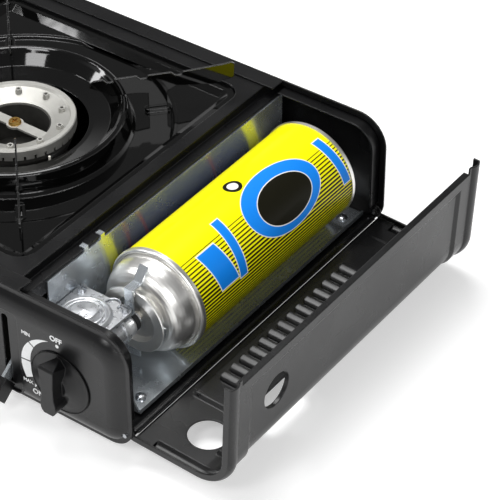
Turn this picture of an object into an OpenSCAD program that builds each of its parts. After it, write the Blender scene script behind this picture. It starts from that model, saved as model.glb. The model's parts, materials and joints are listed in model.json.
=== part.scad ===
// Butane cassette stove with its cartridge lid open.
// Millimetres, +Z up, the control panel faces -Y and the cartridge bay is at +X.

/* [Body] */
// Width over the side walls
body_w = 330; // [316:1:350]
// Depth over the flanges of the two end panels
body_d = 257; // [250:1:275]
// Height of the deck above the table
deck_h = 86; // [85:0.5:90]
// Radius of the two long upper edges
shoulder_r = 21; // [17:0.5:23]
// Radius of the two long lower edges
sole_r = 16; // [15:0.5:18]
// Height of the body's sole above the table
foot_h = 6; // [5:0.5:7]
// Diameter of a foot
foot_d = 16; // [12:1:20]
// Thickness of the sheet steel
sheet = 1; // [0.8:0.1:1.2]
// Play between two lapped sheets
lap = 0.1; // [0.05:0.05:0.2]
// Width of the band that each end panel wraps round the body
band_w = 12; // [10:0.5:15]
// Height of the bulge of an end panel
bulge = 5.5; // [4:0.25:6.5]
// Radius that turns the bulge into the flange
bulge_r = 13; // [11:0.5:14]
// Flat rim left round the bulge
rim_w = 3; // [2:0.25:3.5]

/* [Cartridge bay] */
// Width of the bay, from the outside of the body to the tray wall
bay_w = 78.5; // [77.5:0.5:80]
// Width of the gutter that the lid's hem drops into
gutter_w = 7; // [6:0.5:9]
// Depth of the gutter
gutter_h = 6; // [5:0.5:7]
// Gap left between the tray's right lip and the outside of the body
tray_gap = 13.5; // [12:0.5:16]
// Bend radius of the tray
tray_bend_r = 5; // [3:0.5:6]
// Distance from the front flange to the tray's front wall
tray_setback = 24; // [22:0.5:26]

/* [Cartridge] */
// Diameter of the seamed rims
can_rim_d = 68; // [66:0.5:69]
// Diameter of the printed wall
can_d = 66.4; // [64:0.2:66.6]
// Length between the rims
can_len = 159; // [150:1:165]
// Distance from the front flange to the front rim
can_setback = 77; // [76:0.5:79]
// Distance from the outside of the body to the cartridge axis
can_inset = 42; // [41.5:0.5:43]
// Height of the cartridge axis above the table
can_z = 45; // [44.5:0.25:45.5]
// Thickness of the cartridge metal
can_wall_t = 0.8; // [0.6:0.1:1]
// Diameter of the collar
collar_d = 44.6; // [43:0.2:46]
// Inner diameter of the collar
cup_d = 32.2; // [30:0.2:33]
// Distance from the front rim to the face of the collar
collar_reach = 22; // [21:0.25:23]
// Diameter of the valve stem
stem_d = 4; // [3.5:0.1:4.5]
// Play under the cartridge and between it and the nozzle
seat_gap = 0.3; // [0.25:0.05:0.5]

/* [Lid] */
// Angle to which the lid opens
lid_open = 92.5; // [90:0.5:94]
// Distance of the hinge axis inside the side of the body
hinge_in = 4.7; // [4.6:0.1:5]
// Height of the hinge axis above the table
hinge_h = 17; // [16.5:0.25:17.5]
// Diameter of the hinge pins
pin_d = 3; // [2.6:0.1:3.1]
// Radial play of the hinge pins
pin_play = 0.06; // [0.05:0.01:0.1]
// Outer diameter of the hinge knuckles
knuckle_d = 4.6; // [4.5:0.1:5]
// Radius of the ears round the hinge pins
ear_r = 4.2; // [3.8:0.1:4.4]
// Play between the flanges of the closed lid and the ledges under them
lid_play = 0.8; // [0.6:0.1:1]
// Play between the ends of the lid and the end panels
lid_end_play = 1.2; // [0.8:0.1:1.5]
// Depth of the flange at each end of the lid
lid_flange = 4; // [3.5:0.25:4.25]
// Distance from the tray wall to the hem of the closed lid
lid_gap = 5; // [4:0.5:7]
// Height of the lid's lower edge above the hinge axis
lid_foot = 3.2; // [3:0.1:3.6]
// Width of the bead along each end of the lid
bead_w = 9; // [7:0.5:10]
// Height of the bead
bead_h = 1.8; // [1.2:0.1:2]
// Depth of the panels pressed into the lid
recess_d = 1.5; // [1:0.1:2]
// Diameter of the round hole in the side of the lid
side_hole_d = 24; // [20:0.5:25]
// Diameter of the round hole in the top of the lid
top_hole_d = 23; // [20:0.5:25]
// Number of louvres
louvre_n = 14; // [8:1:15]
// Pitch of the louvres
louvre_pitch = 9.4; // [8:0.2:9.8]

/* [Burner] */
// Distance from the tray wall to the burner axis
burner_inset = 113.5; // [112:0.5:116]
// Diameter of the burner head
head_d = 77; // [70:0.5:80]
// Diameter of the opening inside the head
head_bore = 45; // [40:0.5:48]
// Number of tubular flame posts
post_n = 10; // [6:1:12]
// Number of flame slots under the rim
slot_n = 36; // [24:2:40]
// Diameter of the mixing tube
mix_d = 18; // [16:0.5:19]
// Diameter of the gas pipe
pipe_d = 6; // [5:0.5:7]

/* [Drip pan] */
// Width of the pan recess
pan_w = 196; // [190:1:198]
// Depth of the pan recess
pan_d = 212; // [205:1:216]
// Corner radius of the pan recess
pan_r = 12; // [11.5:0.25:14]
// Depth of the ledge that carries the pan
ledge_h = 3; // [2:0.25:4]
// Radius of the crest of the ring
ring_r = 68.5; // [64:0.5:71]
// Height of the ring over the floor of the pan
ring_h = 14; // [11:0.5:15]
// Diameter of the hole round the burner
pan_hole_d = 92; // [90:0.5:96]
// Height of the pan supports over the deck
support_h = 18; // [15:0.5:24]
// Thickness of a pan support
support_t = 1.2; // [1:0.1:1.6]
// Radius that the tips of the supports reach
support_r = 139; // [130:1:140]

/* [Regulator] */
// Side of the square diaphragm cover
cover_w = 39; // [37:0.5:40]
// Thickness of the cover's flange
cover_t = 2; // [1.5:0.25:2.5]
// Height of the cover's face over the cartridge axis
cover_up = 12; // [11:0.5:13]
// Diameter of the valve barrel
barrel_d = 14.6; // [13:0.2:15.4]
// Diameter of the nozzle that enters the mounting cup
nozzle_d = 9; // [8:0.2:10]
// Diameter of the knob's spindle
spindle_d = 6; // [5:0.5:7]

/* [Controls] */
// Distance from the cartridge axis to the knob's axis
knob_inset = 4; // [2:0.5:6]
// Height of the knob's axis above the table
knob_h = 39; // [37:0.5:39.5]
// Diameter of the knob's skirt
knob_d = 43; // [40:0.5:46]
// Length of the knob's grip from the panel
knob_l = 17; // [15:0.5:22]
// Distance from the tray wall to the lever
lever_inset = 8; // [7.5:0.5:9]
// Length of the lever slot
slot_l = 51; // [48:0.5:54]
// Width of the lever slot
slot_w = 4.6; // [4:0.1:6]
// Thickness of the lever
lever_t = 2; // [1.6:0.1:2.4]
// Width of the lever's arm
lever_w = 8; // [7:0.5:8.5]
// Length of the lever from its pin to its tip
lever_l = 46; // [45:0.5:50]
// Angle of the locked lever below the horizontal
lever_low = 37; // [33:1:38]
// Angle of the free lever above the horizontal
lever_high = 37; // [33:1:38]
// Distance from the front flange to the lever's pin
lever_setback = 20; // [19:0.5:21]
// Height of the lever's pin above the table
lever_h = 43; // [42:0.5:44]
// Diameter of the lever's pin
lever_pin_d = 5; // [4:0.25:6]
// Radius of the lever's crank
crank_r = 6.2; // [5.5:0.1:7]

/* [Hidden] */
$fn = 72;

black = "#26272a";
enamel = "#141416";
zinc = "#b9bec2";
cast = "#c9c9c4";
brass = "#b8913f";
steel = "#8f949a";

hair = 0.01;                                   // overshoot of a cut through a face
front_y = -body_d / 2;                         // plane of the front flange
back_y = body_d / 2;
shell_in = sheet + lap;                        // inset of the body sheets under the bands
shell_y = body_d / 2 - shell_in;               // ends of the body sheets
plate_z = deck_h - shell_in;                   // upper face of the top plate
sole_z = foot_h + shell_in;                    // lower face of the base pan
floor_z = sole_z + sheet;                      // upper face of the base pan
tray_x = body_w / 2 - bay_w;                   // burner side of the tray wall
ridge_x = tray_x - gutter_w;                   // edge of the deck beside the gutter
horn_x = tray_x + lid_play;                    // tips of the lid's ends, past its hem
can_x = body_w / 2 - can_inset;
can_y = front_y + can_setback;                 // front rim of the cartridge
bed_z = can_z - can_rim_d / 2 - seat_gap;      // upper face of the tray bed
tray_y0 = front_y + tray_setback;
tray_y1 = back_y - 3;
tray_x1 = body_w / 2 - tray_gap;
burner_x = tray_x - burner_inset;
hinge_x = body_w / 2 - hinge_in;
base_right_z = hinge_h - 5.5;                  // upper end of the base pan and the bands below the lid
seam_z = deck_h - shoulder_r - 10;             // joint of base pan and top plate on the left wall

// ---------- plain shapes ----------

// Outline of the body in X and Z, moved inwards by inset
module body_section(inset = 0) {
  x = body_w / 2 - inset;
  z0 = foot_h + inset;
  z1 = deck_h - inset;
  rt = shoulder_r - inset;
  rb = sole_r - inset;
  translate([-x, z0 + rb]) square([2 * x, z1 - rt - z0 - rb]);
  translate([-x + rt, z1 - rt - hair]) square([2 * (x - rt), rt + hair]);
  translate([-x + rb, z0]) square([2 * (x - rb), rb + hair]);
  for (side = [-1, 1]) {
    translate([side * (x - rt), z1 - rt]) circle(rt);
    translate([side * (x - rb), z0 + rb]) circle(rb);
  }
}

// A sheet that follows the body's outline, sheet thick
module body_skin(inset) {
  difference() {
    body_section(inset);
    body_section(inset + sheet);
  }
}

// Extrudes an X-Z section along Y, from y0 to y1
module along_y(y0, y1) {
  translate([0, y1, 0]) rotate([90, 0, 0]) linear_extrude(y1 - y0) children();
}

// Extrudes a Y-Z section along X, from x0 to x1
module along_x(x0, x1) {
  translate([x0, 0, 0]) rotate([90, 0, 90]) linear_extrude(x1 - x0) children();
}

module block(x0, x1, y0, y1, z0, z1) {
  translate([x0, y0, z0]) cube([x1 - x0, y1 - y0, z1 - z0]);
}

// A rod between two ends on one line parallel to Y
module rod_y(x, z, r, y0, y1) {
  translate([x, y0, z]) rotate([-90, 0, 0]) cylinder(r = r, h = y1 - y0);
}

module rod_x(y, z, r, x0, x1) {
  translate([x0, y, z]) rotate([0, 90, 0]) cylinder(r = r, h = x1 - x0);
}

module rounded(w, h, r) {
  square([w - 2 * r, h], center = true);
  square([w, h - 2 * r], center = true);
  for (x = [-1, 1], y = [-1, 1]) translate([x * (w / 2 - r), y * (h / 2 - r)]) circle(r);
}

module obround(l, w) {
  square([l - w, w], center = true);
  for (x = [-1, 1]) translate([x * (l - w) / 2, 0]) circle(w / 2);
}

// Sweeps an outward-facing section round a rectangle; upper corners rt, lower corners rb
module frame_sweep(w, h, rt, rb) {
  for (side = [0, 1]) {
    mirror([side, 0, 0]) {
      translate([w / 2 - rt, h / 2 - rt, 0]) rotate_extrude(angle = 90) translate([rt, 0]) children();
      translate([w / 2 - rb, rb - h / 2, 0]) rotate([0, 0, -90])
        rotate_extrude(angle = 90) translate([rb, 0]) children();
      translate([w / 2, h / 2 - rt, 0]) rotate([90, 0, 0]) linear_extrude(h - rt - rb) children();
    }
  }
  translate([w / 2 - rt, h / 2, 0]) rotate([90, 0, -90]) mirror([1, 0, 0])
    linear_extrude(w - 2 * rt) children();
  translate([rb - w / 2, -h / 2, 0]) rotate([90, 0, 90]) mirror([1, 0, 0])
    linear_extrude(w - 2 * rb) children();
}

function unit(v) = v / norm(v);
function right_of(a, b) = let (d = unit(b - a)) [d.y, -d.x];
function miter(m, n) = (m + n) / (1 + m * n);

// Closed outline of a strip t thick on the right-hand side of a line of points, round the points of its end
function strip(p, t, end = []) =
  let (n = len(p) - 1, side = [for (i = [0:n - 1]) right_of(p[i], p[i + 1])])
  concat(p, end, [for (i = [n:-1:0])
    p[i] + t * (i == 0 ? side[0] : i == n ? side[n - 1] : miter(side[i - 1], side[i]))]);

// Direction of a line of points at point i, halfway between its two legs
function leg_at(p, i) = unit((i > 0 ? unit(p[i] - p[i - 1]) : [0, 0, 0]) +
  (i < len(p) - 1 ? unit(p[i + 1] - p[i]) : [0, 0, 0]));
tube_side = [0.5, -0.6, 0.62];                 // no leg of a tube runs along this line
function across(d) = unit(cross(d, tube_side));

// Rings of a tube of radius r round a line of points, and the faces that join them
function tube_rings(p, r, sides) = [for (i = [0:len(p) - 1])
  let (d = leg_at(p, i), u = across(d), w = cross(d, u))
  for (k = [0:sides - 1]) p[i] + r * (cos(k * 360 / sides) * u + sin(k * 360 / sides) * w)];
function tube_faces(rings, sides) = concat(
  [[for (k = [0:sides - 1]) k], [for (k = [sides - 1:-1:0]) (rings - 1) * sides + k]],
  [for (i = [0:rings - 2], k = [0:sides - 1])
    let (a = i * sides + k, b = i * sides + (k + 1) % sides) [b, a, a + sides, b + sides]]);

function arc(c, r, a0, a1, n) = [for (i = [0:n]) let (a = a0 + (a1 - a0) * i / n) c + r * [cos(a), sin(a)]];

// ---------- end panels ----------

bulge_run = sqrt(pow(bulge_r, 2) - pow(bulge_r - bulge, 2));   // width of the rounded edge
face_inset = rim_w + bulge_run;

// Section of an end panel's edge: band, rim and rounded edge, outwards = +u, away from the body = +v
module panel_edge() {
  translate([-sheet, -band_w]) square([sheet, band_w]);
  translate([-rim_w - sheet, -sheet]) square([rim_w + sheet, sheet]);
  intersection() {
    translate([-face_inset, bulge - bulge_r]) difference() {
      circle(bulge_r);
      circle(bulge_r - sheet);
    }
    translate([-face_inset, -sheet]) square([bulge_run, bulge + sheet]);
  }
}

module panel_face() {
  w = body_w - 2 * face_inset;
  h = deck_h - foot_h - 2 * face_inset;
  rt = shoulder_r - face_inset;
  rb = sole_r - face_inset;
  union() {
    square([w - 2 * rt, h], center = true);
    square([w, h - 2 * rt], center = true);
    translate([-w / 2 + rb, -h / 2]) square([w - 2 * rb, h / 2]);
    translate([-w / 2, -h / 2 + rb]) square([w, h / 2 - rb]);
    for (s = [-1, 1]) {
      translate([s * (w / 2 - rt), h / 2 - rt]) circle(rt);
      translate([s * (w / 2 - rb), rb - h / 2]) circle(rb);
    }
  }
}

// One end panel in its own plane, outside facing +Z
module end_panel_flat() {
  frame_sweep(body_w, deck_h - foot_h, shoulder_r, sole_r) panel_edge();
  translate([0, 0, bulge - sheet]) linear_extrude(sheet) panel_face();
}

// How far the outside of an end panel stands out, at a distance inside its outline
function bulge_at(inset) = bulge - bulge_r + sqrt(pow(bulge_r, 2) - pow(face_inset - inset, 2));

joggle = lid_flange + lid_play;          // depth of the ledge under the closed lid
joggle_w = 8.5;
joggle_low = hinge_h + ear_r + 1;

// Ledge that stands back behind the outline, where the lid's flange closes over it
module lid_ledge() {
  along_y(front_y - bulge_at(joggle) + 0.2, front_y + joggle_w) intersection() {
    body_skin(joggle);
    translate([horn_x, joggle_low]) square(body_w);
  }
}

module end_panel() {
  difference() {
    translate([0, front_y, (deck_h + foot_h) / 2]) rotate([90, 0, 0]) end_panel_flat();
    along_y(front_y + sheet, front_y + band_w + 1) translate([tray_x, base_right_z]) square(body_w);
    rod_y(hinge_x, hinge_h, pin_d / 2, front_y - bulge, front_y + band_w);
  }
  lid_ledge();
}

lever_x = tray_x - lever_inset;
pocket_margin = 8;
pocket_h = 1.2;
knob_x = can_x - knob_inset;

module front_panel() color(black) {
  difference() {
    end_panel();
    translate([lever_x, 0, lever_h]) rotate([90, 0, 0]) linear_extrude(body_d) rotate([0, 0, 90])
      obround(slot_l, slot_w);
    rod_y(knob_x, knob_h, spindle_d / 2 + 1, front_y - bulge - 1, front_y + 1);
    lever_pocket(0);
  }
  difference() {
    lever_pocket(sheet);
    lever_pocket(0);
    translate([lever_x, 0, lever_h]) rotate([90, 0, 0]) linear_extrude(body_d) rotate([0, 0, 90])
      obround(slot_l, slot_w);
  }
}

// Shallow pressed recess round the lever slot, or its outside when grown
module lever_pocket(grow) {
  depth = pocket_h + grow;
  translate([lever_x, front_y - bulge + depth, lever_h]) rotate([90, 0, 0])
    linear_extrude(depth + (grow > 0 ? -hair : 1))
      rounded(2 * pocket_margin + slot_w + 2 * grow, slot_l + pocket_margin + 2 * grow, 4 + grow);
}

module back_panel() color(black) mirror([0, 1, 0]) end_panel();

// ---------- body sheets ----------

vent_l = 26;
vent_w = 4;
module vent_row(x, y, count, pitch) {
  for (i = [0:count - 1])
    translate([x, y + (i - (count - 1) / 2) * pitch, 0]) linear_extrude(floor_z + 1) obround(vent_l, vent_w);
}

// Upper edge of the pan below the lid, curled round under the hinge axis
curl_r = norm([hinge_in - sheet, lid_foot]) - 0.5;
curl_end = body_d / 2 - 8;
curl_foot = [body_w / 2 - sole_r + sqrt(pow(sole_r - shell_in, 2) - pow(foot_h + sole_r - base_right_z, 2)),
  base_right_z];
module base_pan() color(black) difference() {
  union() {
    along_y(-shell_y, shell_y) intersection() {
      body_skin(shell_in);
      union() {
        translate([-body_w / 2, 0]) square([body_w / 2, seam_z]);
        square([body_w / 2, base_right_z]);
      }
    }
    along_y(-curl_end, curl_end)
      polygon(strip(concat([curl_foot - [sheet + 0.3, 0.6]], arc([hinge_x, hinge_h], curl_r - sheet, 235, 325, 9)),
        sheet));
  }
  vent_row(burner_x, 0, 9, 16);
  vent_row(can_x, 0, 7, 16);
  for (x = [-1, 1], y = [-1, 1]) foot_place(x, y) cylinder(d = foot_pin_d, h = 2 * floor_z);
  for (x = tray_screw_x, y = tray_screw_y) translate([x, y, 0]) cylinder(d = tray_screw_d, h = 2 * floor_z);
}

lap_strip_h = 8;
ledge_w = 4;
module pan_outline(grow) {
  translate([burner_x, 0]) rounded(pan_w + 2 * grow, pan_d + 2 * grow, pan_r + max(grow, 0) + 0.75 * min(grow, 0));
}

// Deck with its shoulder, the stepped seat of the drip pan and the gutter beside the bay
module top_plate() color(black) difference() {
  union() {
    along_y(-shell_y, shell_y) {
      intersection() {
        body_skin(shell_in);
        translate([-body_w / 2, seam_z]) square([body_w / 2 + ridge_x, deck_h]);
      }
      translate([-body_w / 2 + shell_in + sheet, seam_z - lap_strip_h]) square([sheet, 2 * lap_strip_h]);
      translate([ridge_x - sheet, plate_z - gutter_h]) square([sheet, gutter_h]);
      translate([ridge_x - sheet, plate_z - gutter_h - sheet]) square([gutter_w + sheet, sheet]);
      translate([tray_x - sheet, plate_z - gutter_h - 10]) square([sheet, 10]);
    }
    translate([0, 0, plate_z - ledge_h - sheet]) linear_extrude(ledge_h + sheet / 2) pan_outline(sheet);
  }
  translate([0, 0, plate_z - ledge_h]) linear_extrude(2 * ledge_h) pan_outline(0);
  translate([0, 0, plate_z - ledge_h - 2 * sheet]) linear_extrude(3 * sheet) pan_outline(-ledge_w);
}

// ---------- cartridge tray ----------

tray_top = plate_z - gutter_h - 2;
tray_lip = 2;
tray_front_top = can_z - barrel_d / 2 - seat_gap;
boss_r = 5;
tray_screw_x = [tray_x + 14, tray_x1 - 8];
tray_screw_y = [tray_y0 + 10.5, tray_y1 - 12];
slide_travel = 2 * crank_r * sin((lever_low + lever_high) / 2);
slide_t = 1.4;
fork_y = can_y - collar_reach + 2.2;
window_y0 = can_y - collar_reach - 8;
window_y1 = fork_y + slide_t + slide_travel + 13;
window_z1 = bed_z + 8;

tab_y = [front_y + 72, front_y + 57];
tab_w = 3.5;
tab_z = plate_z - gutter_h + 0.3;
module cartridge_tray() color(zinc) difference() {
  union() {
    for (y = tab_y) {
      block(tray_x, tray_x + sheet, y, y + tab_w, tray_top - hair, tab_z + sheet);
      block(tray_x - 3, tray_x + sheet, y, y + tab_w, tab_z, tab_z + sheet);
    }
    along_y(tray_y0, tray_y1) {
      translate([tray_x, bed_z + tray_bend_r - sheet]) square([sheet, tray_top - bed_z - tray_bend_r + sheet]);
      translate([tray_x + tray_bend_r, bed_z - sheet]) square([tray_x1 - tray_x - tray_bend_r, sheet]);
      translate([tray_x1 - sheet, bed_z - sheet]) square([sheet, sheet + tray_lip]);
      intersection() {
        translate([tray_x + tray_bend_r, bed_z + tray_bend_r - sheet]) difference() {
          circle(tray_bend_r);
          circle(tray_bend_r - sheet);
        }
        translate([tray_x, bed_z - sheet]) square([tray_bend_r + hair, tray_bend_r + hair]);
      }
    }
    along_y(tray_y0, tray_y0 + sheet) polygon([
      [tray_x + hair, bed_z + tray_bend_r], [tray_x + tray_bend_r, bed_z - hair], [tray_x1 - 1, bed_z - hair],
      [can_x + 10, tray_front_top], [tray_x + hair, tray_front_top]]);
    for (x = tray_screw_x, y = tray_screw_y) translate([x, y, floor_z]) cylinder(r = boss_r, h = bed_z - floor_z - hair);
  }
  for (x = tray_screw_x, y = tray_screw_y) translate([x, y, 0]) cylinder(d = tray_screw_d, h = bed_z + 1);
  rod_y(knob_x, knob_h, spindle_d / 2 + 1, tray_y0 - 1, tray_y0 + 2);
  block(tray_x - 1, tray_x + sheet + 1, window_y0, window_y1, bed_z + tray_bend_r, window_z1);
  rod_x(pipe_y, pipe_out_z, pipe_d / 2 + 1, tray_x - 1, tray_x + sheet + 1);
}

tray_screw_d = 4;
module tray_screws() color(steel)
  for (x = tray_screw_x, y = tray_screw_y) translate([x, y, 0]) {
    translate([0, 0, floor_z - sheet]) cylinder(d = tray_screw_d, h = bed_z - floor_z + sheet);
    translate([0, 0, bed_z]) intersection() {
      cylinder(d = 7, h = 2);
      translate([0, 0, -3]) sphere(5);
    }
  }

// ---------- feet and case screws ----------

foot_inset = 34;
foot_pin_d = 5;
module foot_place(x, y) {
  translate([x * (body_w / 2 - foot_inset), y * (body_d / 2 - foot_inset), 0]) children();
}
module feet() color("#202020")
  for (x = [-1, 1], y = [-1, 1]) foot_place(x, y) {
    rotate_extrude() polygon([[0, 0], [foot_d / 2 - 1.5, 0], [foot_d / 2 - 0.5, 1], [foot_d / 2, sole_z], [0, sole_z]]);
    cylinder(d = foot_pin_d, h = floor_z);
    translate([0, 0, floor_z]) cylinder(d1 = foot_pin_d + 1.6, d2 = foot_pin_d, h = 1.5);
  }

case_screw_x = 60;
module case_screws() color(steel)
  for (x = [-1, 1], y = [-1, 1]) translate([x * (body_w / 2 - case_screw_x), y * (body_d / 2 - band_w / 2), 0]) {
    translate([0, 0, foot_h - 1.6]) cylinder(d = 6, h = 1.6);
  }

// ---------- regulator ----------

reg_x = can_x - knob_inset - 11.5;
reg_y1 = can_y - collar_reach - 3.2;             // back edge of the cover
reg_y0 = reg_y1 - cover_w - 3;
reg_y = (reg_y0 + reg_y1) / 2;
cover_z = can_z + cover_up;
body_top = cover_z - cover_t;
pipe_y = reg_y + 8;
pipe_out_z = 50;
reg_x0 = tray_x + sheet + 3;
reg_bottom = tray_front_top + 0.5;
barrel_y0 = reg_y0 + 4;
barrel_y1 = can_y - collar_reach - 5;
nozzle_tip = can_y - collar_reach + 2.2;
bore_d = stem_d + 0.6;

module regulator_body() color(zinc) difference() {
  union() {
    block(reg_x0, can_x, reg_y0 + 3, reg_y1 - 4, reg_bottom + 3, body_top);
    translate([reg_x, reg_y, body_top - 4]) cylinder(r = cover_w / 2 - 1.5, h = 4);
    rod_y(can_x, can_z, barrel_d / 2, barrel_y0, barrel_y1);
    rod_y(can_x, can_z, barrel_d / 2 + 0.9, barrel_y1 - 9, barrel_y1 - 6);
    rod_y(knob_x, knob_h, 7, tray_y0 - 18, tray_y0 - hair);
    rod_x(pipe_y, pipe_out_z, 5, tray_x + sheet + 0.5, reg_x0 + 2);
  }
  rod_y(knob_x, knob_h, spindle_d / 2 + 0.05, tray_y0 - 30, tray_y0 - 6);
  rod_y(can_x, can_z, bore_d / 2, barrel_y1 - 12, barrel_y1 + 1);
  rod_x(pipe_y, pipe_out_z, pipe_d / 2 - 1, tray_x, reg_x0 + 6);
}

cover_screw_in = 3.5;
module cover_screw_places()
  for (x = [-1, 1], y = [-1, 1])
    translate([reg_x + x * (cover_w / 2 - cover_screw_in), reg_y + y * ((reg_y1 - reg_y0) / 2 - cover_screw_in), 0])
      children();

// Flange with rounded corners, three rings and a domed middle
module diaphragm_cover() color(zinc) difference() {
  union() {
    translate([reg_x, reg_y, body_top]) linear_extrude(cover_t) rounded(cover_w, reg_y1 - reg_y0, cover_screw_in);
    translate([reg_x, reg_y, cover_z - hair]) rotate_extrude() polygon(concat(
      [[0, 0]], [[16.5, 0], [16, 1]], arc([14.2, 1], 1, 60, 120, 3), [[13, 1.2], [12.5, 1.2]],
      arc([11, 1.6], 1.2, 50, 130, 4), [[9.8, 2]], arc([7, 3], 1.8, 20, 80, 4), [[4, 5], [0, 5.4]]));
  }
  cover_screw_places() translate([0, 0, body_top - 1]) cylinder(d = 2.6, h = cover_t + 2);
}

module cover_screws() color(steel) cover_screw_places() {
  translate([0, 0, body_top]) cylinder(d = 2.6, h = cover_t);
  translate([0, 0, cover_z]) difference() {
    cylinder(d = 5.6, h = 2.2);
    translate([-3, -0.4, 1.4]) cube([6, 0.8, 1]);
  }
}

module nozzle() color(zinc) difference() {
  union() {
    rod_y(can_x, can_z, nozzle_d / 2, barrel_y1, nozzle_tip);
    rod_y(can_x, can_z, nozzle_d / 2 + 1.2, barrel_y1, barrel_y1 + 1.5);
  }
  rod_y(can_x, can_z, bore_d / 2, barrel_y1 - 1, nozzle_tip + 1);
}

module nozzle_seal() color("#2b3038") difference() {
  rod_y(can_x, can_z, barrel_d / 2 - 0.8, barrel_y1 + 1.5, barrel_y1 + 4.6);
  rod_y(can_x, can_z, nozzle_d / 2, barrel_y1, nozzle_tip + 1);
}

tongue_w = 6;
tongue_t = 1.2;
tongue_low = can_z + collar_d / 2 + 1.3;
tongue_y1 = can_y - 9;
tongue_rise = 8.4;
tongue_foot_y = reg_y1 + 0.3 + tongue_t;       // front of the upright, just clear of the cover
key_w = 3;
key_h = 3.4;
module guide_tongue() color(zinc) {
  translate([can_x, 0, 0]) along_x(-tongue_w / 2, tongue_w / 2) polygon(strip(
    [[reg_y1 - 4, body_top - 2.6], [tongue_foot_y, body_top - 2.6], [tongue_foot_y, tongue_low],
     [can_y - collar_reach + 6, tongue_low], [tongue_y1, tongue_low + tongue_rise]], -tongue_t));
  block(can_x - key_w / 2, can_x + key_w / 2, can_y - collar_reach - 0.6, can_y - collar_reach + 2,
    tongue_low - key_h, tongue_low + hair);
}

wire_r = 0.6;
loop_r = 4.4;
module guide_spring() color(steel) translate([can_x - tongue_w / 2 - loop_r - 1.2, reg_y1 - 3.4, cover_z + wire_r]) {
  rotate_extrude(angle = 180) translate([loop_r, 0]) circle(wire_r, $fn = 16);
  for (x = [-loop_r, loop_r]) translate([x, 0, 0]) rotate([90, 0, 0]) cylinder(r = wire_r, h = 1.4);
}

// ---------- gas path and burner ----------

mix_z = 62;
mix_x0 = burner_x + 30;                  // end of the mixing tube in the bowl's neck
mix_x1 = burner_x + 78;
inj_x = mix_x1 + 4;
inj_l = 12;                              // from the injector's tip to the axis of its feed
feed_x = inj_x + inj_l;
pipe_r = pipe_d / 2;
pipe_bend = 10;

module gas_pipe() color("#a8a196") {
  rod_x(pipe_y, pipe_out_z, pipe_r, feed_x + pipe_bend, tray_x + sheet + 0.5);
  translate([feed_x + pipe_bend, pipe_y + pipe_bend, pipe_out_z]) rotate([0, 0, 180])
    rotate_extrude(angle = 90) translate([pipe_bend, 0]) circle(pipe_r, $fn = 32);
  rod_y(feed_x, pipe_out_z, pipe_r, pipe_y + pipe_bend, -pipe_bend);
  translate([feed_x, -pipe_bend, pipe_out_z]) sphere(pipe_r);
  translate([feed_x, -pipe_bend, pipe_out_z]) cylinder(r = pipe_r, h = mix_z - pipe_out_z);
  translate([feed_x, -pipe_bend, mix_z]) sphere(pipe_r);
  rod_y(feed_x, mix_z, pipe_r, -pipe_bend, 0);
}

module pipe_nuts() color(brass) {
  difference() {
    rod_x(pipe_y, pipe_out_z, 5.5, tray_x - 8, tray_x - 0.5);
    rod_x(pipe_y, pipe_out_z, pipe_r, tray_x - 9, tray_x);
  }
}

module injector() color(brass) difference() {
  union() {
    translate([inj_x, 0, mix_z]) rotate([0, 90, 0]) cylinder(d = 8, h = 9);
    translate([feed_x, 0, mix_z]) cube([10, 10, 12], center = true);
  }
  rod_y(feed_x, mix_z, pipe_r, -6, 0);
}

module mixing_tube() color(zinc) difference() {
  rod_x(0, mix_z, mix_d / 2, mix_x0, mix_x1);
  rod_x(0, mix_z, mix_d / 2 - 1, mix_x0 - 1, mix_x1 + 1);
  for (a = [0, 180]) translate([mix_x1 - 10, 0, mix_z]) rotate([a + 90, 0, 0]) cylinder(d = 8, h = mix_d);
}

head_top = deck_h - 0.5;
head_r = head_d / 2;
bowl_top = head_top - 7;
bowl_low = mix_z - mix_d / 2 - 2;
module burner_bowl() color(cast) translate([burner_x, 0, 0]) difference() {
  union() {
    rotate_extrude() polygon([[0, bowl_low], [22, bowl_low], [30, bowl_low + 6], [head_r - 1, bowl_top - 3],
      [head_r - 1, bowl_top], [0, bowl_top]]);
    rod_x(0, mix_z, mix_d / 2 + 1.5, 0, 36);
    rotate([0, 0, electrode_a]) block(head_r - 4, electrode_r + 4.5, -3.4, 3.4, electrode_z + 7, electrode_z + 10);
  }
  rotate([0, 0, electrode_a]) translate([electrode_r, 0, electrode_z]) cylinder(d = ceramic_d + 0.1, h = ceramic_l);
  rotate_extrude() polygon([[head_bore / 2 + 2, bowl_top + 1], [head_bore / 2 + 2, bowl_low + 6],
    [27, bowl_low + 8], [head_r - 3.5, bowl_top - 3], [head_r - 3.5, bowl_top + 1]]);
  translate([0, 0, bowl_low + 3]) cylinder(r = head_bore / 2 - 1, h = bowl_top);
  rod_x(0, mix_z, mix_d / 2, mix_x0 - burner_x, 40);
  rod_x(0, mix_z, mix_d / 2 - 2, 22, 40);
}

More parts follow.
